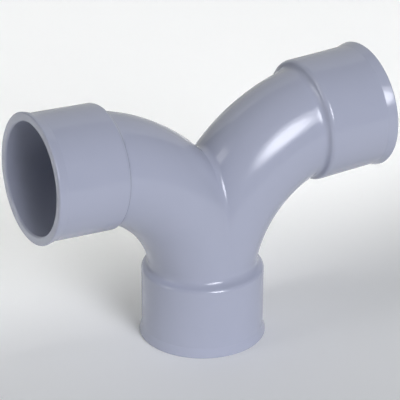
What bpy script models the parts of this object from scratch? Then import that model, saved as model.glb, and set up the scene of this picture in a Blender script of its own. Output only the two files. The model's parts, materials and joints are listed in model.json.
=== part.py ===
"""Double elbow fitting for solvent-welded PVC-U waste pipe, 40 mm, 87.5 degrees.

One injection moulding. The inlet socket stands mouth down on the world origin. Two swept bends leave it
back to back, towards +X and -X, and each ends in an outlet socket. Both sides of the planes X = 0 and
Y = 0 are alike, so a quarter of the skin is lofted, inside and out, and mirrored across both planes.
"""

import math

import bmesh
import bpy
import numpy as np
from mathutils import Vector

for existing in list(bpy.data.objects):
    bpy.data.objects.remove(existing, do_unlink=True)

MM = 0.001

# The pipe that the sockets take
PIPE_DIAMETER = 40.0 * MM
PIPE_WALL = 3.0 * MM

# Sockets, all three alike
SOCKET_DEPTH = 26.0 * MM
SOCKET_CLEARANCE = 0.1 * MM
SOCKET_WALL = 2.45 * MM
BORE_DRAFT = 0.1 * MM
BORE_CHAMFER = 0.5 * MM
LIP_RISE = 0.85 * MM
LIP_LENGTH = 3.8 * MM
LIP_EDGE_RADIUS = 0.5 * MM

# Shoulder between a socket and the tube of its bend, and the fillet that ends it
INLET_SHOULDER_THICKNESS = 1.0 * MM
OUTLET_SHOULDER_THICKNESS = 1.45 * MM
SHOULDER_ANGLE = math.radians(65.0)
SHOULDER_ROUND = 2.0 * MM
INLET_FILLET = 3.0 * MM
OUTLET_FILLET = 2.2 * MM

# Bends: each arc starts and ends inside a socket, and runs a little off both sockets' axes
BEND_RADIUS = 55.1 * MM
BEND_ANGLE = math.radians(87.5)
BEND_WALL = 2.9 * MM
BEND_DRAFT = 0.9 * MM
INLET_OVERLAP = 3.6 * MM
INLET_AXIS_SHIFT = 0.45 * MM
OUTLET_OVERLAP = 10.4 * MM
OUTLET_AXIS_SHIFT = 1.05 * MM

# Where the two bends part, outside and in the waterway
CROTCH_FILLET = 2.5 * MM
SPLITTER_ROUND = 1.0 * MM

# Facets
QUARTER_SEGMENTS = 12
CROTCH_SEGMENTS = 3
REACH_ROWS = 6
SHOULDER_ROWS = 5
FILLET_ROWS = 2
EDGE_ROWS = 2
SHARP_ANGLE = math.radians(30.0)
WELD_DISTANCE = 0.001 * MM

# Searches along the arc of a bend: how far past its ends they look, how often they halve the stretch,
# and how many points measure the crotch
BURIED_ANGLE = math.radians(17.0)
HALVINGS = 50
CROTCH_SAMPLES = 400

# Grey PVC-U with a moulded gloss
COLOUR = (0.40, 0.43, 0.53, 1.0)
ROUGHNESS = 0.14

# Sizes that follow from those above
BORE_RADIUS = PIPE_DIAMETER / 2 + SOCKET_CLEARANCE
MOUTH_RADIUS = BORE_RADIUS + BORE_DRAFT
SOCKET_RADIUS = MOUTH_RADIUS + SOCKET_WALL
LIP_RADIUS = SOCKET_RADIUS + LIP_RISE
WATERWAY_RADIUS = PIPE_DIAMETER / 2 - PIPE_WALL
TUBE_RADIUS = WATERWAY_RADIUS + BEND_WALL
HALF_TURN = math.pi
QUARTER_TURN = math.pi / 2

# The shoulder's turned profile, for a shoulder of no thickness: a round off the wall, then a cone
SHOULDER_START = SOCKET_DEPTH - SHOULDER_ROUND * math.tan(SHOULDER_ANGLE / 2)
ROUND_RUN = SHOULDER_ROUND * SHOULDER_ANGLE
CONE_RADIUS = SOCKET_RADIUS - SHOULDER_ROUND * (1 - math.cos(SHOULDER_ANGLE))
CONE_DEPTH = SHOULDER_START + SHOULDER_ROUND * math.sin(SHOULDER_ANGLE)

ACROSS = Vector((0.0, 1.0, 0.0))


def outer_side(angle):
    """Direction from the bend's centre of curvature through its centre-line, at an angle of the arc."""
    return Vector((-math.cos(angle), 0.0, math.sin(angle)))


def heading(angle):
    """Direction in which the bend's centre-line runs at an angle of the arc."""
    return Vector((math.sin(angle), 0.0, math.cos(angle)))


BEND_CENTRE = Vector((BEND_RADIUS + INLET_AXIS_SHIFT, 0.0, SOCKET_DEPTH - INLET_OVERLAP))
INLET_MOUTH = Vector((0.0, 0.0, 0.0))
OUTLET_MOUTH = (
    BEND_CENTRE
    + outer_side(BEND_ANGLE) * (BEND_RADIUS - OUTLET_AXIS_SHIFT)
    + heading(BEND_ANGLE) * (SOCKET_DEPTH - OUTLET_OVERLAP)
)


def solve(error, low, high):
    """Value between low and high at which the error changes sign."""
    rising = error(high) > error(low)
    for _ in range(HALVINGS):
        middle = (low + high) / 2
        if (error(middle) > 0) == rising:
            high = middle
        else:
            low = middle
    return (low + high) / 2


class Tube:
    """One skin of the bend: a circle swept along the arc, widening towards the outlet.

    Angles along the arc start at the inlet. Angles around the tube are 0 on the outside of the bend and
    half a turn on its inside.
    """

    def __init__(self, outlet_radius, fillet):
        self.outlet_radius = outlet_radius
        self.fillet = fillet

    def radius(self, angle):
        return self.outlet_radius - BEND_DRAFT * (1 - angle / BEND_ANGLE)

    def reach(self, angle, around, margin=0.0):
        """Distance in the plane of the bend from its centre of curvature."""
        return BEND_RADIUS + (self.radius(angle) + margin) * math.cos(around)

    def point(self, angle, around):
        side = ACROSS * (self.radius(angle) * math.sin(around))
        return BEND_CENTRE + outer_side(angle) * self.reach(angle, around) + side

    def crotch_angle(self, around):
        """Angle at which a ball rolling in the crotch, on both bends, touches this line of the tube."""
        return solve(
            lambda angle: self.reach(angle, around, self.fillet) * math.cos(angle) - BEND_CENTRE.x,
            0.0,
            BEND_ANGLE,
        )

    def crotch_foot(self, angle):
        """Line of the tube that the ball touches at an angle of the arc."""
        offset = BEND_CENTRE.x / math.cos(angle) - BEND_RADIUS
        return math.acos(offset / (self.radius(angle) + self.fillet))

    def crotch_arc(self, angle, around):
        """The ball's arc from the plane between the bends to where it touches the tube."""
        touch = self.point(angle, around)
        normal = outer_side(angle) * math.cos(around) + ACROSS * math.sin(around)
        ball = touch + normal * self.fillet
        ball.x = 0.0
        middle = Vector((0.0, -normal.y, -normal.z)).normalized()
        sweep = middle.angle(-normal)
        arc = []
        for k in range(CROTCH_SEGMENTS):
            turn = sweep * k / CROTCH_SEGMENTS
            blend = middle * math.sin(sweep - turn) - normal * math.sin(turn)
            arc.append(ball + blend * (self.fillet / math.sin(sweep)))
        return arc + [touch]

    def columns(self, foot_angle):
        """Lines along the tube, either side of the crotch's foot at the inlet.

        Those that start in the crotch are spaced half by their angle and half by the crotch's length, so
        that no facet there is long in either direction.
        """
        foot = self.crotch_foot(foot_angle)
        tries = [foot * k / CROTCH_SAMPLES for k in range(CROTCH_SAMPLES + 1)]
        touches = [self.point(self.crotch_angle(line), line) for line in tries]
        lengths = [0.0]
        for near, far in zip(touches, touches[1:]):
            lengths.append(lengths[-1] + (far - near).length)
        marks = [line / foot + length / lengths[-1] for line, length in zip(tries, lengths)]
        evenly = [2 * k / QUARTER_SEGMENTS for k in range(QUARTER_SEGMENTS)]
        front = [float(line) for line in np.interp(evenly, marks, tries)]
        step = (HALF_TURN - foot) / QUARTER_SEGMENTS
        return front + [foot + step * k for k in range(QUARTER_SEGMENTS + 1)]


def shoulder_depth(radius):
    """Depth of the shoulder's face at a radius, measured from the socket's mouth."""
    if radius >= SOCKET_RADIUS:
        return SHOULDER_START
    if radius > CONE_RADIUS:
        turn = math.acos(1 - (SOCKET_RADIUS - radius) / SHOULDER_ROUND)
        return SHOULDER_START + SHOULDER_ROUND * math.sin(turn)
    return CONE_DEPTH + (CONE_RADIUS - radius) / math.tan(SHOULDER_ANGLE)


def shoulder_run(radius):
    """Length along the shoulder's profile, from the socket's wall to a radius."""
    if radius > CONE_RADIUS:
        return SHOULDER_ROUND * math.acos(1 - (SOCKET_RADIUS - radius) / SHOULDER_ROUND)
    return ROUND_RUN + (CONE_RADIUS - radius) / math.sin(SHOULDER_ANGLE)


def shoulder_at(run):
    """Radius and depth after a length along the shoulder's profile."""
    if run < ROUND_RUN:
        turn = run / SHOULDER_ROUND
        fall = SHOULDER_ROUND * (1 - math.cos(turn))
        return SOCKET_RADIUS - fall, SHOULDER_START + SHOULDER_ROUND * math.sin(turn)
    slope = run - ROUND_RUN
    fall = slope * math.sin(SHOULDER_ANGLE)
    return CONE_RADIUS - fall, CONE_DEPTH + slope * math.cos(SHOULDER_ANGLE)


def lip_and_bore():
    """Radius and depth from the flare's crease round the mouth to the foot of the bore."""
    profile = [(SOCKET_RADIUS, LIP_LENGTH)]
    for k in range(EDGE_ROWS + 1):
        turn = QUARTER_TURN * k / EDGE_ROWS
        fall = LIP_EDGE_RADIUS * (1 - math.cos(turn))
        profile.append((LIP_RADIUS - fall, LIP_EDGE_RADIUS * (1 - math.sin(turn))))
    profile.append((MOUTH_RADIUS + BORE_CHAMFER, 0.0))
    profile.append((MOUTH_RADIUS, BORE_CHAMFER))
    profile.append((BORE_RADIUS, SOCKET_DEPTH))
    return profile


class Socket:
    """A socket at one end of a bend, with its profile turned about its own axis.

    The tube is inside the socket at the buried angle of its arc, and clear of it at the free angle.
    """

    def __init__(self, thickness, fillet, mouth, outward, side, buried, free):
        self.thickness = thickness
        self.fillet = fillet
        self.mouth = mouth
        self.outward = outward
        self.side = side
        self.buried = buried
        self.free = free

    def point(self, radius, depth, direction):
        radial = self.side * math.cos(direction) + ACROSS * math.sin(direction)
        return self.mouth - self.outward * depth + radial * radius

    def place(self, point):
        """Radius, depth and direction of a point about the socket's axis."""
        offset = point - self.mouth
        depth = -offset.dot(self.outward)
        radial = offset + self.outward * depth
        return radial.length, depth, math.atan2(radial.dot(ACROSS), radial.dot(self.side))

    def meet(self, tube, around, depth_at):
        """Angle of the arc at which a line of the tube crosses a turned face."""

        def clearance(angle):
            radius, depth, _ = self.place(tube.point(angle, around))
            return depth - depth_at(radius)

        return solve(clearance, self.buried, self.free)

    def stop_angle(self, tube, around):
        """Angle of the arc at which a line of the waterway opens in the stop face."""
        return self.meet(tube, around, lambda radius: SOCKET_DEPTH)

    def shoulder_angles(self, tube, around):
        """Angles of the arc at the corner with the shoulder, and where its fillet leaves the tube."""
        corner = self.meet(tube, around, lambda radius: shoulder_depth(radius) + self.thickness)
        setback = self.setback(tube, corner, around)
        away = math.copysign(setback, self.free - self.buried)
        return corner, corner + away / tube.reach(corner, around)

    def setback(self, tube, corner, around):
        """Length that the fillet takes from each side of the corner, at most half of the shoulder."""
        radius, _, _ = self.place(tube.point(corner, around))
        return min(self.fillet * math.tan(SHOULDER_ANGLE / 2), shoulder_run(radius) / 2)

    def shoulder_point(self, run, direction):
        radius, depth = shoulder_at(run)
        return self.point(radius, depth + self.thickness, direction)

    def column(self, outer, outer_line, inner, inner_line):
        """Points from the bend's outer skin, over the shoulder and round the mouth, to its waterway."""
        corner_angle, leave_angle = self.shoulder_angles(outer, outer_line)
        corner = outer.point(corner_angle, outer_line)
        leave = outer.point(leave_angle, outer_line)
        radius, _, direction = self.place(corner)
        run = shoulder_run(radius) - self.setback(outer, corner_angle, outer_line)
        arrive = self.shoulder_point(run, direction)
        points = []
        for k in range(FILLET_ROWS):
            share = k / FILLET_ROWS
            points.append(leave.lerp(corner, share).lerp(corner.lerp(arrive, share), share))
        for k in range(SHOULDER_ROWS + 1):
            points.append(self.shoulder_point(run * (1 - k / SHOULDER_ROWS), direction))
        points += [self.point(*turned, direction) for turned in lip_and_bore()]
        points.append(inner.point(self.stop_angle(inner, inner_line), inner_line))
        return points


OUTER = Tube(TUBE_RADIUS, CROTCH_FILLET)
INNER = Tube(WATERWAY_RADIUS, SPLITTER_ROUND)
INLET = Socket(
    INLET_SHOULDER_THICKNESS,
    INLET_FILLET,
    INLET_MOUTH,
    -heading(0.0),
    outer_side(0.0),
    -BURIED_ANGLE,
    BEND_ANGLE / 2,
)
OUTLET = Socket(
    OUTLET_SHOULDER_THICKNESS,
    OUTLET_FILLET,
    OUTLET_MOUTH,
    heading(BEND_ANGLE),
    outer_side(BEND_ANGLE),
    BEND_ANGLE + BURIED_ANGLE,
    BEND_ANGLE / 2,
)


def inlet_rings(outer_lines, inner_lines):
    """Rings of a quarter of the inlet socket, whose first column lies in the plane X = 0."""
    pairs = zip(outer_lines[QUARTER_SEGMENTS:], inner_lines[QUARTER_SEGMENTS:])
    columns = [INLET.column(OUTER, outer_line, INNER, inner_line) for outer_line, inner_line in pairs]
    columns[0] = [Vector((0.0, point.y, point.z)) for point in columns[0]]
    return list(zip(*columns))


def outlet_rings(outer_lines, inner_lines):
    """Rings of half of an outlet socket."""
    pairs = zip(outer_lines, inner_lines)
    columns = [OUTLET.column(OUTER, outer_line, INNER, inner_line) for outer_line, inner_line in pairs]
    return list(zip(*columns))


def bend_strips(tube, lines, inlet_angles, inlet_ring, outlet_ring, outlet_angles):
    """Pairs of rings along a quarter of the bends, from the inlet past the crotch to the outlet."""
    strips = []
    foot = tube.crotch_angle(lines[QUARTER_SEGMENTS])
    saddle = tube.crotch_angle(0.0)
    # The inlet's ring lies askew to the rings of the bend, which take that on and lose it by the saddle
    skews = [0.0] * QUARTER_SEGMENTS + [angle - inlet_angles[0] for angle in inlet_angles]
    near = [inlet_ring[0]] * CROTCH_SEGMENTS + list(inlet_ring)
    for k in reversed(range(QUARTER_SEGMENTS)):
        angle = tube.crotch_angle(lines[k])
        left = (saddle - angle) / (saddle - foot)
        others = zip(skews[k + 1 :], lines[k + 1 :])
        rest = [tube.point(angle + skew * left, line) for skew, line in others]
        far = tube.crotch_arc(angle, lines[k]) + rest
        # Each ring has one column more than the last, which starts as a triangle at the fillet's edge
        strips.append((near[: CROTCH_SEGMENTS + 1] + near[CROTCH_SEGMENTS:], far))
        near = far
    near = near[CROTCH_SEGMENTS:]
    for k in range(1, REACH_ROWS):
        share = k / REACH_ROWS
        far = [
            tube.point(saddle + (end - saddle) * share, line) for line, end in zip(lines, outlet_angles)
        ]
        strips.append((near, far))
        near = far
    return strips + [(near, outlet_ring)]


def loft(shell, rings):
    """Faces between each two neighbouring rings, which have the same number of points."""
    rows = [[shell.verts.new(point) for point in ring] for ring in rings]
    for near, far in zip(rows, rows[1:]):
        for k in range(len(near) - 1):
            shell.faces.new((near[k], far[k], far[k + 1], near[k + 1]))


def quarter_shell():
    """The quarter of the skin where X and Y are positive, outside and inside."""
    outer_lines = OUTER.columns(INLET.shoulder_angles(OUTER, QUARTER_TURN)[1])
    inner_lines = INNER.columns(INLET.stop_angle(INNER, QUARTER_TURN))
    inlet = inlet_rings(outer_lines, inner_lines)
    outlet = outlet_rings(outer_lines, inner_lines)
    shell = bmesh.new()
    loft(shell, list(reversed(inlet)))
    starts = [INLET.shoulder_angles(OUTER, line)[1] for line in outer_lines[QUARTER_SEGMENTS:]]
    ends = [OUTLET.shoulder_angles(OUTER, line)[1] for line in outer_lines]
    for near, far in bend_strips(OUTER, outer_lines, starts, inlet[0], outlet[0], ends):
        loft(shell, (near, far))
    loft(shell, outlet)
    starts = [INLET.stop_angle(INNER, line) for line in inner_lines[QUARTER_SEGMENTS:]]
    ends = [OUTLET.stop_angle(INNER, line) for line in inner_lines]
    for near, far in bend_strips(INNER, inner_lines, starts, inlet[-1], outlet[-1], ends):
        loft(shell, (far, near))
    bmesh.ops.remove_doubles(shell, verts=shell.verts, dist=WELD_DISTANCE)
    return shell


def grey_pvcu():
    """Plasticiser-free PVC as it leaves the mould: grey all through, with a soft gloss."""
    material = bpy.data.materials.new("grey_pvcu")
    material.use_nodes = True
    surface = material.node_tree.nodes["Principled BSDF"]
    surface.inputs["Base Color"].default_value = COLOUR
    surface.inputs["Roughness"].default_value = ROUGHNESS
    surface.inputs["Metallic"].default_value = 0.0
    return material


def double_elbow():
    mesh = bpy.data.meshes.new("double_elbow")
    shell = quarter_shell()
    shell.to_mesh(mesh)
    shell.free()
    mesh.materials.append(grey_pvcu())
    mesh.shade_smooth()
    mesh.set_sharp_from_angle(angle=SHARP_ANGLE)
    fitting = bpy.data.objects.new("double_elbow", mesh)
    bpy.context.collection.objects.link(fitting)
    mirror = fitting.modifiers.new("both_planes", "MIRROR")
    mirror.use_axis = (True, True, False)
    mirror.merge_threshold = WELD_DISTANCE
    return fitting


double_elbow()
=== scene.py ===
"""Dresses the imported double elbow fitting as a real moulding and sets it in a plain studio.

The fitting is one injection moulding in grey PVC-U. The inlet socket stands mouth down on the floor, and
two swept bends leave it back to back, each ending in an outlet socket. This file lofts a finer skin than
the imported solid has, with every moulded corner rounded, gives it its plastic, and puts the floor, the
softboxes and the camera round it.
"""

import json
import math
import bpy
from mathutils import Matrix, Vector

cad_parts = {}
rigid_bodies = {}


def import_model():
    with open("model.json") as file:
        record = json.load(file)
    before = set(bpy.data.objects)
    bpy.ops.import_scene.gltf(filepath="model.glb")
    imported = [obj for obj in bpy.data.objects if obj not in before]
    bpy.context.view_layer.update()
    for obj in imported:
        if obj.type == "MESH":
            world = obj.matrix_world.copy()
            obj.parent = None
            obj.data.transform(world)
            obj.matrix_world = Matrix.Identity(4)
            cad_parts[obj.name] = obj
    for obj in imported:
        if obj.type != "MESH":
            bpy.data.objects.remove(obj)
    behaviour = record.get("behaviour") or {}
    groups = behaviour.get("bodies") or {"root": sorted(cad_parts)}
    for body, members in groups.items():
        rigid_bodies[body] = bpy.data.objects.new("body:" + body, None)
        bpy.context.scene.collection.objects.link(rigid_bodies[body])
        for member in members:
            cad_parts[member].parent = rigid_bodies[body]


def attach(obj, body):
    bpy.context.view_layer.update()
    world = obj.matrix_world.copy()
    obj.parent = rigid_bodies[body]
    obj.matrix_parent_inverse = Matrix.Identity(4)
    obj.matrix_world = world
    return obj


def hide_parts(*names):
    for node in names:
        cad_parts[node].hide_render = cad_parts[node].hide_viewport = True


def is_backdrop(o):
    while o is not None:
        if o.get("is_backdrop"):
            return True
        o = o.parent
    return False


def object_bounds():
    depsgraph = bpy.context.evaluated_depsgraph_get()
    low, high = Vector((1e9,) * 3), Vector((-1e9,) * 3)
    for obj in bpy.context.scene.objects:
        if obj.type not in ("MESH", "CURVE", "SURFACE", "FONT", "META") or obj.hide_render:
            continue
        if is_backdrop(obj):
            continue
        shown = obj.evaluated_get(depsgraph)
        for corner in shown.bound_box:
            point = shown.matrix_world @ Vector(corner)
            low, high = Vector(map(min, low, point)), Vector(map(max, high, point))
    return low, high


bl_info = {
    "name": "Double Elbow Fitting",
    "version": (1, 0, 0),
    "blender": (4, 5, 0),
    "location": "3D View > Sidebar > Fitting",
    "description": "Builds a double elbow pipe fitting and a plain studio for it",
    "category": "Object",
}

import bmesh
import bpy
import numpy as np
from bpy.props import FloatProperty, FloatVectorProperty, IntProperty, PointerProperty
from mathutils import Quaternion, Vector

# Blender starts with a cube, a lamp and a camera, which go first
for startup_object in list(bpy.data.objects):
    bpy.data.objects.remove(startup_object, do_unlink=True)

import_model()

NODE = "double_elbow"
CAD_BOX = [list(corner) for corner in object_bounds()]

MM = 0.001
HALF_TURN = math.pi
QUARTER_TURN = math.pi / 2
ACROSS = Vector((0.0, 1.0, 0.0))

# Searches along the arc of a bend: how far past its ends they look, how often they halve the stretch,
# and in how many steps the crotch is measured to space its facets evenly
BURIED_ANGLE = math.radians(17.0)
HALVINGS = 50
CROTCH_SAMPLES = 400

# Points closer than the first are one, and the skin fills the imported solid's box to within the second
WELD_DISTANCE = 0.001 * MM
BOX_TOLERANCE = 0.02 * MM

# The plastic: how fine and how wound its streaks of flow are, between which values of their noise the
# skin goes from glossy to dull, and how fine its sink waves are
FLOW_DETAIL = 3.0
FLOW_WINDING = 1.2
GLOSS_SPAN = (0.35, 0.65)
SINK_DETAIL = 1.0

# The floor's paint, and the bumps that a roller leaves in it, which hardly show
PAINT_ROUGHNESS = 0.9
PAINT_SPECULAR = 0.2
STIPPLE_WIDTH = 1.5 * MM
STIPPLE_HEIGHT = 0.01 * MM
STIPPLE_DETAIL = 1.0

# Where the lights stand, as bearing and climb in degrees and distance from the middle of the fitting,
# and how large they are where that goes with the place. The wash hangs low over the floor.
FITTING_MIDDLE = Vector((0.0, 0.0, 0.06))
KEY_PLACE = (1.0, 29.5, 3.0)
LAMP_PLACE = (0.3, 27.8, 2.95)
STRIP_PLACE = (-97.0, 25.5, 3.0)
STRIP_HEIGHT = 2.5
BACKDROP_PLACE = (151.0, 25.0, 3.0)
BACKDROP_HEIGHT = 4.0
FILL_PLACE = (217.0, 34.0, 3.0)
FILL_SIZE = (2.4, 1.85)
WASH_PLACE = (180.0, 49.3, 0.514)
WASH_SIZE = (1.2, 0.57)
WASH_SPREAD = math.radians(16.0)
STRAIGHT_DOWN = (0.0, 0.0, 0.0)
WHITE = (1.0, 1.0, 1.0)

# How much of a square the disk inside it fills
DISK_SHARE = math.pi / 4


def srgb(hex_colour):
    """Linear red, green and blue of an sRGB hex colour such as #A0A8B0."""
    channels = [int(hex_colour[k : k + 2], 16) / 255 for k in (1, 3, 5)]
    return [c / 12.92 if c <= 0.04045 else ((c + 0.055) / 1.055) ** 2.4 for c in channels]


class FittingSizes(bpy.types.PropertyGroup):
    """Sizes of the moulding"""

    pipe_diameter: FloatProperty(
        name="Pipe diameter",
        description="Outside diameter of the pipe that the sockets take",
        default=40.0 * MM,
        precision=4,
        unit="LENGTH",
    )
    pipe_wall: FloatProperty(
        name="Pipe wall",
        description="Wall of that pipe, so that its bore and the waterway line up",
        default=3.0 * MM,
        precision=4,
        unit="LENGTH",
    )
    socket_depth: FloatProperty(
        name="Socket depth",
        description="Depth of a socket from its mouth to its stop",
        default=26.0 * MM,
        precision=4,
        unit="LENGTH",
    )
    socket_clearance: FloatProperty(
        name="Socket clearance",
        description="Gap round the pipe at the stop",
        default=0.1 * MM,
        precision=5,
        unit="LENGTH",
    )
    socket_wall: FloatProperty(
        name="Socket wall",
        description="Wall of a socket at its mouth, without the lip",
        default=2.45 * MM,
        precision=5,
        unit="LENGTH",
    )
    bore_draft: FloatProperty(
        name="Bore draft",
        description="Growth of the bore's radius from the stop to the mouth",
        default=0.1 * MM,
        precision=5,
        unit="LENGTH",
    )
    bore_chamfer: FloatProperty(
        name="Bore chamfer",
        description="Lead-in round the mouth of the bore",
        default=0.5 * MM,
        precision=5,
        unit="LENGTH",
    )
    lip_rise: FloatProperty(
        name="Lip rise",
        description="How far the flared lip stands out from the socket",
        default=0.85 * MM,
        precision=5,
        unit="LENGTH",
    )
    lip_length: FloatProperty(
        name="Lip length",
        description="Length of the flared lip",
        default=3.8 * MM,
        precision=5,
        unit="LENGTH",
    )
    inlet_shoulder: FloatProperty(
        name="Inlet shoulder",
        description="Thickness between the inlet's stop and the shoulder outside it",
        default=1.0 * MM,
        precision=5,
        unit="LENGTH",
    )
    outlet_shoulder: FloatProperty(
        name="Outlet shoulder",
        description="Thickness between an outlet's stop and the shoulder outside it",
        default=1.45 * MM,
        precision=5,
        unit="LENGTH",
    )
    shoulder_angle: FloatProperty(
        name="Shoulder angle",
        description="Angle between the shoulder's face and the socket's wall",
        default=math.radians(65.0),
        subtype="ANGLE",
    )
    shoulder_round: FloatProperty(
        name="Shoulder round",
        description="Radius where the socket's wall turns into the shoulder",
        default=2.0 * MM,
        precision=5,
        unit="LENGTH",
    )
    inlet_fillet: FloatProperty(
        name="Inlet fillet",
        description="Radius where the inlet's shoulder meets the bends",
        default=3.0 * MM,
        precision=5,
        unit="LENGTH",
    )
    outlet_fillet: FloatProperty(
        name="Outlet fillet",
        description="Radius where an outlet's shoulder meets its bend",
        default=2.2 * MM,
        precision=5,
        unit="LENGTH",
    )
    bend_radius: FloatProperty(
        name="Bend radius",
        description="Radius of the centre-line of a bend",
        default=55.1 * MM,
        precision=4,
        unit="LENGTH",
    )
    bend_angle: FloatProperty(
        name="Bend angle",
        description="Angle between the inlet's axis and an outlet's",
        default=math.radians(87.5),
        subtype="ANGLE",
    )
    bend_wall: FloatProperty(
        name="Bend wall",
        description="Wall of a bend at its outlet",
        default=2.9 * MM,
        precision=5,
        unit="LENGTH",
    )
    bend_draft: FloatProperty(
        name="Bend draft",
        description="Growth of a bend's radius from the inlet to the outlet",
        default=0.9 * MM,
        precision=5,
        unit="LENGTH",
    )
    inlet_overlap: FloatProperty(
        name="Inlet overlap",
        description="How far inside the inlet's stop the arc of a bend starts",
        default=3.6 * MM,
        precision=5,
        unit="LENGTH",
    )
    inlet_axis_shift: FloatProperty(
        name="Inlet axis shift",
        description="How far the arc of a bend starts beside the inlet's axis",
        default=0.45 * MM,
        precision=5,
        unit="LENGTH",
    )
    outlet_overlap: FloatProperty(
        name="Outlet overlap",
        description="How far inside an outlet's stop the arc of a bend ends",
        default=10.4 * MM,
        precision=5,
        unit="LENGTH",
    )
    outlet_axis_shift: FloatProperty(
        name="Outlet axis shift",
        description="How far the arc of a bend ends beside the outlet's axis",
        default=1.05 * MM,
        precision=5,
        unit="LENGTH",
    )
    crotch_fillet: FloatProperty(
        name="Crotch fillet",
        description="Radius of the fillet in the crotch between the two bends",
        default=2.5 * MM,
        precision=5,
        unit="LENGTH",
    )
    splitter_round: FloatProperty(
        name="Splitter round",
        description="Radius of the waterway's edge where the flow parts",
        default=1.0 * MM,
        precision=5,
        unit="LENGTH",
    )


class FittingRounds(bpy.types.PropertyGroup):
    """Small radii that only the finer skin has, and its number of facets"""

    lip_edge: FloatProperty(
        name="Lip edge",
        description="Radius of the lip's outer edge at the mouth",
        default=0.5 * MM,
        precision=5,
        unit="LENGTH",
    )
    lip_crease: FloatProperty(
        name="Lip crease",
        description="Radius where the lip starts to flare from the socket",
        default=0.8 * MM,
        precision=5,
        unit="LENGTH",
    )
    chamfer_edge: FloatProperty(
        name="Chamfer edges",
        description="Radius of both edges of the lead-in chamfer",
        default=0.15 * MM,
        precision=5,
        unit="LENGTH",
    )
    stop_corner: FloatProperty(
        name="Stop corner",
        description="Radius between the bore and the stop",
        default=0.4 * MM,
        precision=5,
        unit="LENGTH",
    )
    stop_edge: FloatProperty(
        name="Stop edge",
        description="Radius of the edge where the waterway opens in the stop",
        default=0.3 * MM,
        precision=5,
        unit="LENGTH",
    )
    quarter_segments: IntProperty(
        name="Facets round a quarter",
        description="Facets along the crotch, and again round the rest of a half tube",
        default=36,
        min=6,
    )
    crotch_segments: IntProperty(
        name="Facets across the crotch",
        description="Facets across half of the fillet in the crotch",
        default=6,
        min=2,
    )
    reach_rows: IntProperty(
        name="Rows of a bend",
        description="Rows from the top of the crotch to the outlet's shoulder",
        default=26,
        min=4,
    )
    shoulder_rows: IntProperty(
        name="Rows of a shoulder",
        description="Rows across the face of a shoulder",
        default=10,
        min=3,
    )
    corner_rows: IntProperty(
        name="Rows of a corner",
        description="Rows round each small radius",
        default=5,
        min=2,
    )
    wall_rows: IntProperty(
        name="Rows of a wall",
        description="Rows along a socket's wall, outside and in the bore",
        default=3,
        min=1,
    )


class FittingPlastic(bpy.types.PropertyGroup):
    """Look of the plastic"""

    colour: FloatVectorProperty(
        name="Colour",
        description="Colour of the pigmented PVC-U",
        default=srgb("#B0B4C5"),
        size=3,
        min=0.0,
        max=1.0,
        subtype="COLOR",
    )
    flow_colour: FloatVectorProperty(
        name="Flow colour",
        description="Colour of the faint streaks where the melt carried a little less pigment",
        default=srgb("#B3B6C7"),
        size=3,
        min=0.0,
        max=1.0,
        subtype="COLOR",
    )
    refraction: FloatProperty(
        name="Index of refraction",
        description="Index of refraction of PVC-U",
        default=1.53,
        min=1.0,
        max=2.0,
    )
    gloss_roughness: FloatProperty(
        name="Roughness, glossy",
        description="Roughness where the skin copied the polished steel best",
        default=0.12,
        min=0.0,
        max=1.0,
        subtype="FACTOR",
    )
    dull_roughness: FloatProperty(
        name="Roughness, dull",
        description="Roughness where the skin set before it met the steel",
        default=0.17,
        min=0.0,
        max=1.0,
        subtype="FACTOR",
    )
    flow_size: FloatProperty(
        name="Flow streak size",
        description="Width of a streak that the melt left as it filled the mould",
        default=14.0 * MM,
        precision=4,
        unit="LENGTH",
    )
    sink_size: FloatProperty(
        name="Sink size",
        description="Length of the shallow waves where the wall shrank as it cooled",
        default=9.0 * MM,
        precision=4,
        unit="LENGTH",
    )
    sink_depth: FloatProperty(
        name="Sink depth",
        description="Height of those waves",
        default=0.03 * MM,
        precision=6,
        unit="LENGTH",
    )


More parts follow.
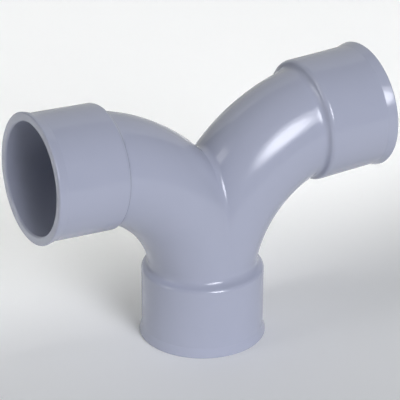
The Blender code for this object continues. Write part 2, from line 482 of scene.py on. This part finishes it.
class StudioLook(bpy.types.PropertyGroup):
    """Floor, softboxes and camera"""

    floor_width: FloatProperty(
        name="Floor width",
        description="Width of the square floor, whose far edge shows in the gloss of the sockets",
        default=0.9,
        min=0.5,
        unit="LENGTH",
    )
    floor_colour: FloatVectorProperty(
        name="Floor colour",
        description="Colour of the pale floor",
        default=srgb("#F8F8F7"),
        size=3,
        min=0.0,
        max=1.0,
        subtype="COLOR",
    )
    room_colour: FloatVectorProperty(
        name="Room colour",
        description="Dim light that the rest of the room throws back",
        default=srgb("#454843"),
        size=3,
        min=0.0,
        max=1.0,
        subtype="COLOR",
    )
    sweep_colour: FloatVectorProperty(
        name="Sweep colour",
        description="Colour that shows beyond the edge of the floor",
        default=srgb("#EEEFF0"),
        size=3,
        min=0.0,
        max=1.0,
        subtype="COLOR",
    )
    light_colour: FloatVectorProperty(
        name="Light colour",
        description="Colour of the lamp in front and of the softbox round it, cooler than daylight",
        default=srgb("#F4F6FF"),
        size=3,
        min=0.0,
        max=1.0,
        subtype="COLOR",
    )
    key_brightness: FloatProperty(
        name="Key brightness",
        description="Radiance of the round softbox in front, in watts a square metre and steradian",
        default=4.4,
        min=0.0,
    )
    key_width: FloatProperty(
        name="Key width",
        description="Width of the round softbox in front",
        default=1.89,
        min=0.0,
        unit="LENGTH",
    )
    lamp_brightness: FloatProperty(
        name="Lamp brightness",
        description="Radiance that the lamp adds in the middle of the round softbox",
        default=8.5,
        min=0.0,
    )
    lamp_width: FloatProperty(
        name="Lamp width",
        description="Width of the bright middle of the round softbox",
        default=1.2,
        min=0.0,
        unit="LENGTH",
    )
    strip_brightness: FloatProperty(
        name="Strip brightness",
        description="Radiance of the tall softbox at the side",
        default=2.3,
        min=0.0,
    )
    strip_width: FloatProperty(
        name="Strip width",
        description="Width of the tall softbox at the side",
        default=1.06,
        min=0.0,
        unit="LENGTH",
    )
    backdrop_brightness: FloatProperty(
        name="Backdrop brightness",
        description="Radiance of the lit paper behind the fitting",
        default=0.56,
        min=0.0,
    )
    backdrop_width: FloatProperty(
        name="Backdrop width",
        description="Width of the lit paper behind the fitting",
        default=5.4,
        min=0.0,
        unit="LENGTH",
    )
    fill_brightness: FloatProperty(
        name="Fill brightness",
        description="Radiance of the small softbox high on the left behind the fitting",
        default=0.18,
        min=0.0,
    )
    wash_brightness: FloatProperty(
        name="Wash brightness",
        description="Radiance of the gridded panel close over the floor behind the fitting",
        default=0.45,
        min=0.0,
    )
    camera_target: FloatVectorProperty(
        name="Camera target",
        description="Point in the middle of the picture",
        default=(-2.277 * MM, -1.843 * MM, 54.332 * MM),
        size=3,
        precision=4,
        subtype="TRANSLATION",
    )
    camera_bearing: FloatProperty(
        name="Camera bearing",
        description="Angle of the camera round the fitting, from the front towards the right",
        default=math.radians(-29.866),
        subtype="ANGLE",
    )
    camera_climb: FloatProperty(
        name="Camera climb",
        description="Angle of the camera above the floor",
        default=math.radians(25.735),
        subtype="ANGLE",
    )
    camera_roll: FloatProperty(
        name="Camera roll",
        description="Tilt of the camera about its own axis",
        default=math.radians(0.3),
        subtype="ANGLE",
    )
    camera_distance: FloatProperty(
        name="Camera distance",
        description="Distance from the camera to its target",
        default=772.443 * MM,
        precision=4,
        unit="LENGTH",
    )
    camera_lens: FloatProperty(
        name="Lens",
        description="Focal length in millimetres on a 36 mm sensor",
        default=191.875,
        min=1.0,
    )


def solve(error, low, high):
    """Value between low and high at which the error changes sign."""
    rising = error(high) > error(low)
    for _ in range(HALVINGS):
        middle = (low + high) / 2
        if (error(middle) > 0) == rising:
            high = middle
        else:
            low = middle
    return (low + high) / 2


def outer_side(angle):
    """Direction from the bend's centre of curvature through its centre-line, at an angle of the arc."""
    return Vector((-math.cos(angle), 0.0, math.sin(angle)))


def heading(angle):
    """Direction in which the bend's centre-line runs at an angle of the arc."""
    return Vector((math.sin(angle), 0.0, math.cos(angle)))


def curve_through(before, corner, after, rows):
    """Points from before to just short of after, on a curve that cuts the corner."""
    shares = [k / rows for k in range(rows)]
    return [before.lerp(corner, s).lerp(corner.lerp(after, s), s) for s in shares]


def rounded_corner(before, corner, after, radius, rows):
    """Points of the arc that rounds a corner of a flat profile."""
    back = (before - corner).normalized()
    ahead = (after - corner).normalized()
    half = back.angle(ahead) / 2
    middle = corner + (back + ahead).normalized() * (radius / math.sin(half))
    start = corner + back * (radius / math.tan(half)) - middle
    end = corner + ahead * (radius / math.tan(half)) - middle
    sweep = start.angle(end)
    turns = [sweep * k / rows for k in range(rows + 1)]
    return [
        middle + (start * math.sin(sweep - turn) + end * math.sin(turn)) / math.sin(sweep)
        for turn in turns
    ]


class Bend:
    """The arc that the centre-line of the right bend follows in the plane Y = 0."""

    def __init__(self, sizes):
        self.radius = sizes.bend_radius
        self.angle = sizes.bend_angle
        self.draft = sizes.bend_draft
        self.centre = Vector(
            (
                sizes.bend_radius + sizes.inlet_axis_shift,
                0.0,
                sizes.socket_depth - sizes.inlet_overlap,
            )
        )


class Tube:
    """One skin of the bend: a circle swept along the arc, widening towards the outlet.

    Angles along the arc start at the inlet. Angles around the tube are 0 on the outside of the bend and
    half a turn on its inside.
    """

    def __init__(self, bend, outlet_radius, fillet, rounds):
        self.bend = bend
        self.outlet_radius = outlet_radius
        self.fillet = fillet
        self.rounds = rounds

    def radius(self, angle):
        """Radius of the tube at an angle of the arc."""
        return self.outlet_radius - self.bend.draft * (1 - angle / self.bend.angle)

    def reach(self, angle, around, margin=0.0):
        """Distance in the plane of the bend from its centre of curvature."""
        return self.bend.radius + (self.radius(angle) + margin) * math.cos(around)

    def point(self, angle, around):
        """Point of the skin at an angle of the arc and an angle around the tube."""
        side = ACROSS * (self.radius(angle) * math.sin(around))
        return self.bend.centre + outer_side(angle) * self.reach(angle, around) + side

    def crotch_angle(self, around):
        """Angle at which a ball rolling in the crotch, on both bends, touches this line of the tube."""
        return solve(
            lambda angle: self.reach(angle, around, self.fillet) * math.cos(angle)
            - self.bend.centre.x,
            0.0,
            self.bend.angle,
        )

    def crotch_foot(self, angle):
        """Line of the tube that the ball touches at an angle of the arc."""
        offset = self.bend.centre.x / math.cos(angle) - self.bend.radius
        return math.acos(offset / (self.radius(angle) + self.fillet))

    def crotch_arc(self, angle, around):
        """The ball's arc from the plane between the bends to where it touches the tube."""
        touch = self.point(angle, around)
        normal = outer_side(angle) * math.cos(around) + ACROSS * math.sin(around)
        ball = touch + normal * self.fillet
        ball.x = 0.0
        middle = Vector((0.0, -normal.y, -normal.z)).normalized()
        sweep = middle.angle(-normal)
        arc = []
        for k in range(self.rounds.crotch_segments):
            turn = sweep * k / self.rounds.crotch_segments
            blend = middle * math.sin(sweep - turn) - normal * math.sin(turn)
            arc.append(ball + blend * (self.fillet / math.sin(sweep)))
        return arc + [touch]

    def columns(self, foot_angle):
        """Lines along the tube: evenly spaced along the crotch, then round the rest of the tube."""
        segments = self.rounds.quarter_segments
        foot = self.crotch_foot(foot_angle)
        tries = [foot * k / CROTCH_SAMPLES for k in range(CROTCH_SAMPLES + 1)]
        touches = [self.point(self.crotch_angle(line), line) for line in tries]
        lengths = [0.0]
        for near, far in zip(touches, touches[1:]):
            lengths.append(lengths[-1] + (far - near).length)
        marks = [lengths[-1] * k / segments for k in range(segments)]
        front = [float(line) for line in np.interp(marks, lengths, tries)]
        step = (HALF_TURN - foot) / segments
        return front + [foot + step * k for k in range(segments + 1)]


class SocketProfile:
    """What is turned about the axis of a socket: shoulder, wall, lip, chamfer and bore."""

    def __init__(self, sizes, rounds):
        self.sizes = sizes
        self.rounds = rounds
        self.bore_radius = sizes.pipe_diameter / 2 + sizes.socket_clearance
        self.mouth_radius = self.bore_radius + sizes.bore_draft
        self.socket_radius = self.mouth_radius + sizes.socket_wall
        self.waterway_radius = sizes.pipe_diameter / 2 - sizes.pipe_wall
        turn = sizes.shoulder_angle
        shift = sizes.shoulder_round * math.tan(turn / 2)
        self.start = sizes.socket_depth - shift
        self.round_run = sizes.shoulder_round * turn
        self.cone_radius = self.socket_radius - sizes.shoulder_round * (1 - math.cos(turn))
        self.cone_depth = self.start + sizes.shoulder_round * math.sin(turn)

    def shoulder_depth(self, radius):
        """Depth from the socket's mouth of the face of a shoulder of no thickness, at a radius."""
        if radius >= self.socket_radius:
            return self.start
        if radius > self.cone_radius:
            turn = math.acos(1 - (self.socket_radius - radius) / self.sizes.shoulder_round)
            return self.start + self.sizes.shoulder_round * math.sin(turn)
        fall = self.cone_radius - radius
        return self.cone_depth + fall / math.tan(self.sizes.shoulder_angle)

    def shoulder_run(self, radius):
        """Length along the shoulder's profile, from the socket's wall to a radius."""
        if radius > self.cone_radius:
            share = (self.socket_radius - radius) / self.sizes.shoulder_round
            return self.sizes.shoulder_round * math.acos(1 - share)
        return self.round_run + (self.cone_radius - radius) / math.sin(self.sizes.shoulder_angle)

    def shoulder_at(self, run):
        """Radius and depth after a length along the shoulder's profile."""
        if run < self.round_run:
            turn = run / self.sizes.shoulder_round
            fall = self.sizes.shoulder_round * (1 - math.cos(turn))
            return self.socket_radius - fall, self.start + self.sizes.shoulder_round * math.sin(turn)
        slope = run - self.round_run
        fall = slope * math.sin(self.sizes.shoulder_angle)
        return self.cone_radius - fall, self.cone_depth + slope * math.cos(self.sizes.shoulder_angle)

    def mouth(self):
        """Radius and depth from the shoulder's wall round the lip and down the bore to the stop."""
        sizes, rounds = self.sizes, self.rounds
        chamfer_radius = self.mouth_radius + sizes.bore_chamfer
        # The flare runs from its crease to touch the round of the lip's edge, and the widest point of
        # that round stands out by the lip's rise
        rise = sizes.lip_rise - rounds.lip_edge
        length = sizes.lip_length - rounds.lip_edge
        flare = math.atan2(rise, length) + math.asin(rounds.lip_edge / math.hypot(rise, length))
        flare_end = self.socket_radius + sizes.lip_length * math.tan(flare)
        corners = [
            (self.socket_radius, self.start, 0.0),
            (self.socket_radius, sizes.lip_length, rounds.lip_crease),
            (flare_end, 0.0, rounds.lip_edge),
            (chamfer_radius, 0.0, rounds.chamfer_edge),
            (self.mouth_radius, sizes.bore_chamfer, rounds.chamfer_edge),
            (self.bore_radius, sizes.socket_depth, rounds.stop_corner),
            (self.waterway_radius, sizes.socket_depth, 0.0),
        ]
        places = [Vector((radius, depth, 0.0)) for radius, depth, _ in corners]
        profile = [places[0]]
        for k in range(1, len(corners) - 1):
            arc = rounded_corner(*places[k - 1 : k + 2], corners[k][2], rounds.corner_rows)
            # A stretch longer than the lip is a wall, and gets rows of its own
            if (arc[0] - profile[-1]).length > sizes.lip_length:
                shares = [row / rounds.wall_rows for row in range(1, rounds.wall_rows)]
                profile += [profile[-1].lerp(arc[0], share) for share in shares]
            profile += arc
        return [(place.x, place.y) for place in profile[1:]]


class Socket:
    """A socket at one end of a bend, with its profile turned about its own axis.

    The tube is inside the socket at the buried angle of its arc, and clear of it at the free angle.
    """

    def __init__(self, profile, thickness, fillet, mouth, outward, side, buried, free):
        self.profile = profile
        self.thickness = thickness
        self.fillet = fillet
        self.mouth = mouth
        self.outward = outward
        self.side = side
        self.buried = buried
        self.free = free

    def point(self, radius, depth, direction):
        """Point at a radius, depth and direction about the socket's axis."""
        radial = self.side * math.cos(direction) + ACROSS * math.sin(direction)
        return self.mouth - self.outward * depth + radial * radius

    def place(self, point):
        """Radius, depth and direction of a point about the socket's axis."""
        offset = point - self.mouth
        depth = -offset.dot(self.outward)
        radial = offset + self.outward * depth
        return radial.length, depth, math.atan2(radial.dot(ACROSS), radial.dot(self.side))

    def meet(self, tube, around, depth_at):
        """Angle of the arc at which a line of the tube crosses a turned face."""

        def clearance(angle):
            radius, depth, _ = self.place(tube.point(angle, around))
            return depth - depth_at(radius)

        return solve(clearance, self.buried, self.free)

    def along(self, tube, angle, around, length):
        """Angle of the arc a length further from the socket along a line of the tube."""
        return angle + math.copysign(length, self.free - self.buried) / tube.reach(angle, around)

    def shoulder_angles(self, tube, around):
        """Angles of the arc at the corner with the shoulder, and where its fillet leaves the tube."""
        depth_at = self.profile.shoulder_depth
        corner = self.meet(tube, around, lambda radius: depth_at(radius) + self.thickness)
        return corner, self.along(tube, corner, around, self.setback(tube, corner, around))

    def stop_angles(self, tube, around):
        """Angles of the arc where the waterway opens in the stop, and where that edge's round ends."""
        corner = self.meet(tube, around, lambda radius: self.profile.sizes.socket_depth)
        return corner, self.along(tube, corner, around, self.profile.rounds.stop_edge)

    def setback(self, tube, corner, around):
        """Length that the fillet takes from each side of the corner, at most half of the shoulder."""
        radius, _, _ = self.place(tube.point(corner, around))
        setback = self.fillet * math.tan(self.profile.sizes.shoulder_angle / 2)
        return min(setback, self.profile.shoulder_run(radius) / 2)

    def shoulder_point(self, run, direction):
        """Point of the shoulder's face after a length along its profile."""
        radius, depth = self.profile.shoulder_at(run)
        return self.point(radius, depth + self.thickness, direction)

    def column(self, outer, outer_line, inner, inner_line):
        """Points from the bend's outer skin, over the shoulder and round the mouth, to its waterway."""
        profile, rounds = self.profile, self.profile.rounds
        corner_angle, leave_angle = self.shoulder_angles(outer, outer_line)
        corner = outer.point(corner_angle, outer_line)
        leave = outer.point(leave_angle, outer_line)
        radius, _, direction = self.place(corner)
        run = profile.shoulder_run(radius) - self.setback(outer, corner_angle, outer_line)
        arrive = self.shoulder_point(run, direction)
        points = curve_through(leave, corner, arrive, rounds.corner_rows)
        for k in range(rounds.shoulder_rows + 1):
            share = 1 - k / rounds.shoulder_rows
            points.append(self.shoulder_point(run * share, direction))
        points += [self.point(*turned, direction) for turned in profile.mouth()]
        edge_angle, water_angle = self.stop_angles(inner, inner_line)
        edge = inner.point(edge_angle, inner_line)
        water = inner.point(water_angle, inner_line)
        before = edge + (points[-1] - edge).normalized() * rounds.stop_edge
        return points + curve_through(before, edge, water, rounds.corner_rows) + [water]


def loft(shell, rings):
    """Faces between each two neighbouring rings, which have the same number of points."""
    rows = [[shell.verts.new(point) for point in ring] for ring in rings]
    for near, far in zip(rows, rows[1:]):
        for k in range(len(near) - 1):
            shell.faces.new((near[k], far[k], far[k + 1], near[k + 1]))


class Moulding:
    """The quarter of the fitting's skin where X and Y are positive, outside and in the waterway."""

    def __init__(self, sizes, rounds):
        self.rounds = rounds
        self.bend = Bend(sizes)
        profile = SocketProfile(sizes, rounds)
        waterway = profile.waterway_radius
        self.outer = Tube(self.bend, waterway + sizes.bend_wall, sizes.crotch_fillet, rounds)
        self.inner = Tube(self.bend, waterway, sizes.splitter_round, rounds)
        halfway = self.bend.angle / 2
        self.inlet = Socket(
            profile,
            sizes.inlet_shoulder,
            sizes.inlet_fillet,
            Vector((0.0, 0.0, 0.0)),
            -heading(0.0),
            outer_side(0.0),
            -BURIED_ANGLE,
            halfway,
        )
        end = self.bend.angle
        outlet_mouth = (
            self.bend.centre
            + outer_side(end) * (self.bend.radius - sizes.outlet_axis_shift)
            + heading(end) * (sizes.socket_depth - sizes.outlet_overlap)
        )
        self.outlet = Socket(
            profile,
            sizes.outlet_shoulder,
            sizes.outlet_fillet,
            outlet_mouth,
            heading(end),
            outer_side(end),
            end + BURIED_ANGLE,
            halfway,
        )

    def rings(self, socket, outer_lines, inner_lines):
        """Rings of a socket, from the bend's outer skin round the mouth to its waterway."""
        columns = [
            socket.column(self.outer, outer_line, self.inner, inner_line)
            for outer_line, inner_line in zip(outer_lines, inner_lines)
        ]
        # The inlet's first column starts in the crotch, so it is put into the plane between the bends
        if socket is self.inlet:
            columns[0] = [Vector((0.0, point.y, point.z)) for point in columns[0]]
        return list(zip(*columns))

    def strips(self, tube, lines, inlet_angles, inlet_ring, outlet_ring, outlet_angles):
        """Pairs of rings along a quarter of the bends, from the inlet past the crotch to the outlet."""
        crotch, segments = self.rounds.crotch_segments, self.rounds.quarter_segments
        strips = []
        foot, saddle = tube.crotch_angle(lines[segments]), tube.crotch_angle(0.0)
        # The inlet's ring lies askew to the bend's rings, which start as it does and are square by the
        # saddle of the crotch
        skews = [0.0] * segments + [angle - inlet_angles[0] for angle in inlet_angles]
        near = [inlet_ring[0]] * crotch + list(inlet_ring)
        for k in reversed(range(segments)):
            angle = tube.crotch_angle(lines[k])
            remaining = (saddle - angle) / (saddle - foot)
            rest = [
                tube.point(angle + skew * remaining, line)
                for skew, line in zip(skews[k + 1 :], lines[k + 1 :])
            ]
            far = tube.crotch_arc(angle, lines[k]) + rest
            # Each ring has one column more than the last, starting as a triangle at the fillet's edge
            strips.append((near[: crotch + 1] + near[crotch:], far))
            near = far
        near = near[crotch:]
        for k in range(1, self.rounds.reach_rows):
            share = k / self.rounds.reach_rows
            far = [
                tube.point(saddle + (end - saddle) * share, line)
                for line, end in zip(lines, outlet_angles)
            ]
            strips.append((near, far))
            near = far
        return strips + [(near, outlet_ring)]

    def shell(self):
        """Skin of the quarter: sockets and bend outside, and the waterway between their stops."""
        segments = self.rounds.quarter_segments
        outer_foot = self.inlet.shoulder_angles(self.outer, QUARTER_TURN)[1]
        inner_foot = self.inlet.stop_angles(self.inner, QUARTER_TURN)[1]
        outer_lines = self.outer.columns(outer_foot)
        inner_lines = self.inner.columns(inner_foot)
        inlet = self.rings(self.inlet, outer_lines[segments:], inner_lines[segments:])
        outlet = self.rings(self.outlet, outer_lines, inner_lines)
        shell = bmesh.new()
        loft(shell, list(reversed(inlet)))
        starts = [self.inlet.shoulder_angles(self.outer, line)[1] for line in outer_lines[segments:]]
        ends = [self.outlet.shoulder_angles(self.outer, line)[1] for line in outer_lines]
        for near, far in self.strips(self.outer, outer_lines, starts, inlet[0], outlet[0], ends):
            loft(shell, (near, far))
        loft(shell, outlet)
        starts = [self.inlet.stop_angles(self.inner, line)[1] for line in inner_lines[segments:]]
        ends = [self.outlet.stop_angles(self.inner, line)[1] for line in inner_lines]
        for near, far in self.strips(self.inner, inner_lines, starts, inlet[-1], outlet[-1], ends):
            loft(shell, (far, near))
        bmesh.ops.remove_doubles(shell, verts=shell.verts, dist=WELD_DISTANCE)
        return shell


def add_node(tree, kind, settings=None, links=None):
    """A node with its settings, and with links into its inputs by name or number."""
    node = tree.nodes.new(kind)
    for name, value in (settings or {}).items():
        if isinstance(name, int) or name in node.inputs:
            node.inputs[name].default_value = value
        else:
            setattr(node, name, value)
    for socket, source in (links or {}).items():
        tree.links.new(source, node.inputs[socket])
    return node


def moulded_pvcu(plastic):
    """Unplasticised PVC, injection moulded in polished steel.

    The pigment goes all through, so the colour is even, with faint streaks where the melt flowed. The
    skin is glossy and sharp enough to show the edges of the softboxes and of the floor. Its gloss varies
    a little from place to place, and the wall has sunk in shallow waves that bend the highlights.
    """
    material = bpy.data.materials.new("injection_moulded_pvcu")
    material.use_nodes = True
    tree = material.node_tree
    surface = tree.nodes["Principled BSDF"]
    surface.inputs["IOR"].default_value = plastic.refraction
    surface.inputs["Metallic"].default_value = 0.0
    place = add_node(tree, "ShaderNodeTexCoord").outputs["Object"]
    flow = add_node(
        tree,
        "ShaderNodeTexNoise",
        {"Scale": 1 / plastic.flow_size, "Detail": FLOW_DETAIL, "Distortion": FLOW_WINDING},
        {"Vector": place},
    ).outputs["Fac"]
    # Of this node's many sockets, 6 and 7 take its two colours, and output 2 gives their mix
    colour = add_node(
        tree,
        "ShaderNodeMix",
        {"data_type": "RGBA", 6: (*plastic.colour, 1.0), 7: (*plastic.flow_colour, 1.0)},
        {"Factor": flow},
    ).outputs[2]
    gloss = add_node(
        tree,
        "ShaderNodeMapRange",
        {
            "From Min": GLOSS_SPAN[0],
            "From Max": GLOSS_SPAN[1],
            "To Min": plastic.gloss_roughness,
            "To Max": plastic.dull_roughness,
        },
        {"Value": flow},
    ).outputs["Result"]
    sink = add_node(
        tree,
        "ShaderNodeTexNoise",
        {"Scale": 1 / plastic.sink_size, "Detail": SINK_DETAIL},
        {"Vector": place},
    ).outputs["Fac"]
    waves = add_node(
        tree,
        "ShaderNodeBump",
        {"Strength": 1.0, "Distance": plastic.sink_depth},
        {"Height": sink},
    ).outputs["Normal"]
    tree.links.new(colour, surface.inputs["Base Color"])
    tree.links.new(gloss, surface.inputs["Roughness"])
    tree.links.new(waves, surface.inputs["Normal"])
    return material


class FITTING_OT_mould(bpy.types.Operator):
    """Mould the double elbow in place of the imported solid"""

    bl_idname = "fitting.mould"
    bl_label = "Mould the fitting"
    bl_options = {"REGISTER", "UNDO"}

    def execute(self, context):
        scene = context.scene
        shell = Moulding(scene.fitting_sizes, scene.fitting_rounds).shell()
        mesh = bpy.data.meshes.new("double_elbow_moulding")
        shell.to_mesh(mesh)
        shell.free()
        mesh.shade_smooth()
        mesh.materials.append(moulded_pvcu(scene.fitting_plastic))
        moulding = bpy.data.objects.new("double_elbow_moulding", mesh)
        scene.collection.objects.link(moulding)
        mirror = moulding.modifiers.new("both_planes", "MIRROR")
        mirror.use_axis = (True, True, False)
        mirror.merge_threshold = WELD_DISTANCE
        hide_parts(NODE)
        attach(moulding, "root")
        for made, packed in zip(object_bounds(), CAD_BOX):
            if max(abs(a - b) for a, b in zip(made, packed)) > BOX_TOLERANCE:
                raise RuntimeError("the moulding doesn't fill the packed solid's box")
        return {"FINISHED"}


def painted_board(colour):
    """Fibreboard with a rolled coat of matt emulsion, which gives the floor an even, pale tone."""
    material = bpy.data.materials.new("rolled_matt_emulsion")
    material.use_nodes = True
    tree = material.node_tree
    surface = tree.nodes["Principled BSDF"]
    surface.inputs["Base Color"].default_value = (*colour, 1.0)
    surface.inputs["Roughness"].default_value = PAINT_ROUGHNESS
    surface.inputs["Specular IOR Level"].default_value = PAINT_SPECULAR
    place = add_node(tree, "ShaderNodeTexCoord").outputs["Object"]
    stipple = add_node(
        tree,
        "ShaderNodeTexNoise",
        {"Scale": 1 / STIPPLE_WIDTH, "Detail": STIPPLE_DETAIL},
        {"Vector": place},
    ).outputs["Fac"]
    bumps = add_node(
        tree,
        "ShaderNodeBump",
        {"Strength": 1.0, "Distance": STIPPLE_HEIGHT},
        {"Height": stipple},
    ).outputs["Normal"]
    tree.links.new(bumps, surface.inputs["Normal"])
    return material


def direction_at(bearing, climb):
    """Direction from the fitting at a bearing, from the front towards the right, and a climb."""
    return Vector(
        (
            math.sin(bearing) * math.cos(climb),
            -math.cos(bearing) * math.cos(climb),
            math.sin(climb),
        )
    )


class FITTING_OT_studio(bpy.types.Operator):
    """Set up the floor, the softboxes, the backdrop and the camera"""

    bl_idname = "fitting.studio"
    bl_label = "Set up the studio"
    bl_options = {"REGISTER", "UNDO"}

    def floor(self, scene, studio):
        """A square painted board, with the fitting in its middle."""
        half = studio.floor_width / 2
        corners = [(-half, -half, 0.0), (half, -half, 0.0), (half, half, 0.0), (-half, half, 0.0)]
        mesh = bpy.data.meshes.new("studio_floor")
        mesh.from_pydata(corners, [], [(0, 1, 2, 3)])
        mesh.materials.append(painted_board(studio.floor_colour))
        floor = bpy.data.objects.new("studio_floor", mesh)
        scene.collection.objects.link(floor)
        floor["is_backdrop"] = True

    def softbox(self, scene, name, place, size, brightness, colour=WHITE):
        """A flat light facing the fitting. Its brightness is its radiance, and one size makes it round."""
        bearing, climb, distance = place
        is_round = len(size) == 1
        light = bpy.data.lights.new(name, "AREA")
        light.shape = "DISK" if is_round else "RECTANGLE"
        light.size, light.size_y = size[0], size[-1]
        light.color = colour
        area = size[0] * size[-1] * (DISK_SHARE if is_round else 1.0)
        light.energy = brightness * math.pi * area
        softbox = bpy.data.objects.new(name, light)
        away = direction_at(math.radians(bearing), math.radians(climb))
        softbox.location = FITTING_MIDDLE + away * distance
        softbox.rotation_euler = away.to_track_quat("Z", "Y").to_euler()
        scene.collection.objects.link(softbox)
        return softbox

    def lights(self, scene, studio):
        """The key in front with its lamp, a strip on the left, and dimmer lights behind the fitting."""
        cool = studio.light_colour
        self.softbox(scene, "key_softbox", KEY_PLACE, (studio.key_width,), studio.key_brightness, cool)
        self.softbox(scene, "key_lamp", LAMP_PLACE, (studio.lamp_width,), studio.lamp_brightness, cool)
        tall = (studio.strip_width, STRIP_HEIGHT)
        self.softbox(scene, "strip_softbox", STRIP_PLACE, tall, studio.strip_brightness)
        wide = (studio.backdrop_width, BACKDROP_HEIGHT)
        self.softbox(scene, "lit_backdrop", BACKDROP_PLACE, wide, studio.backdrop_brightness)
        self.softbox(scene, "fill_softbox", FILL_PLACE, FILL_SIZE, studio.fill_brightness)
        # This one looks straight down through a grid, so that none of its light meets the fitting
        wash = self.softbox(scene, "floor_wash", WASH_PLACE, WASH_SIZE, studio.wash_brightness)
        wash.rotation_euler = STRAIGHT_DOWN
        wash.data.spread = WASH_SPREAD

    def room(self, scene, studio):
        """A dim room, with a pale sweep where the camera sees past the floor."""
        world = bpy.data.worlds.new("studio_room")
        world.use_nodes = True
        tree = world.node_tree
        room = tree.nodes["Background"]
        room.inputs["Color"].default_value = (*studio.room_colour, 1.0)
        sweep = add_node(tree, "ShaderNodeBackground", {"Color": (*studio.sweep_colour, 1.0)})
        seen = add_node(tree, "ShaderNodeLightPath").outputs["Is Camera Ray"]
        either = add_node(
            tree,
            "ShaderNodeMixShader",
            links={0: seen, 1: room.outputs[0], 2: sweep.outputs[0]},
        )
        tree.links.new(either.outputs[0], tree.nodes["World Output"].inputs["Surface"])
        scene.world = world

    def camera(self, scene, studio):
        """A camera at the photograph's viewing angle, with its middle in the middle of the picture."""
        back = direction_at(studio.camera_bearing, studio.camera_climb)
        camera = bpy.data.objects.new("studio_camera", bpy.data.cameras.new("studio_camera"))
        camera.data.lens = studio.camera_lens
        camera.location = Vector(studio.camera_target) + back * studio.camera_distance
        roll = Quaternion((0.0, 0.0, 1.0), studio.camera_roll)
        camera.rotation_euler = (back.to_track_quat("Z", "Y") @ roll).to_euler()
        scene.collection.objects.link(camera)
        scene.camera = camera

    def execute(self, context):
        scene = context.scene
        studio = scene.fitting_studio
        self.floor(scene, studio)
        self.lights(scene, studio)
        self.room(scene, studio)
        self.camera(scene, studio)
        scene.view_settings.view_transform = "Standard"
        return {"FINISHED"}


class FITTING_PT_panel(bpy.types.Panel):
    """Lists the pieces, with their sizes and colours"""

    bl_label = "Double elbow fitting"
    bl_space_type = "VIEW_3D"
    bl_region_type = "UI"
    bl_category = "Fitting"

    def draw(self, context):
        scene = context.scene
        parts = (
            (FITTING_OT_mould, (scene.fitting_sizes, scene.fitting_rounds, scene.fitting_plastic)),
            (FITTING_OT_studio, (scene.fitting_studio,)),
        )
        for operator, groups in parts:
            box = self.layout.box()
            box.operator(operator.bl_idname)
            for group in groups:
                for name in group.__annotations__:
                    box.prop(group, name)


CLASSES = (
    FittingSizes,
    FittingRounds,
    FittingPlastic,
    StudioLook,
    FITTING_OT_mould,
    FITTING_OT_studio,
    FITTING_PT_panel,
)


def register():
    for cls in CLASSES:
        bpy.utils.register_class(cls)
    bpy.types.Scene.fitting_sizes = PointerProperty(type=FittingSizes)
    bpy.types.Scene.fitting_rounds = PointerProperty(type=FittingRounds)
    bpy.types.Scene.fitting_plastic = PointerProperty(type=FittingPlastic)
    bpy.types.Scene.fitting_studio = PointerProperty(type=StudioLook)


def unregister():
    for name in ("fitting_sizes", "fitting_rounds", "fitting_plastic", "fitting_studio"):
        delattr(bpy.types.Scene, name)
    for cls in reversed(CLASSES):
        bpy.utils.unregister_class(cls)


def main():
    """Build the studio and the fitting."""
    register()
    bpy.ops.fitting.studio()
    bpy.ops.fitting.mould()


if __name__ == "__main__":
    main()
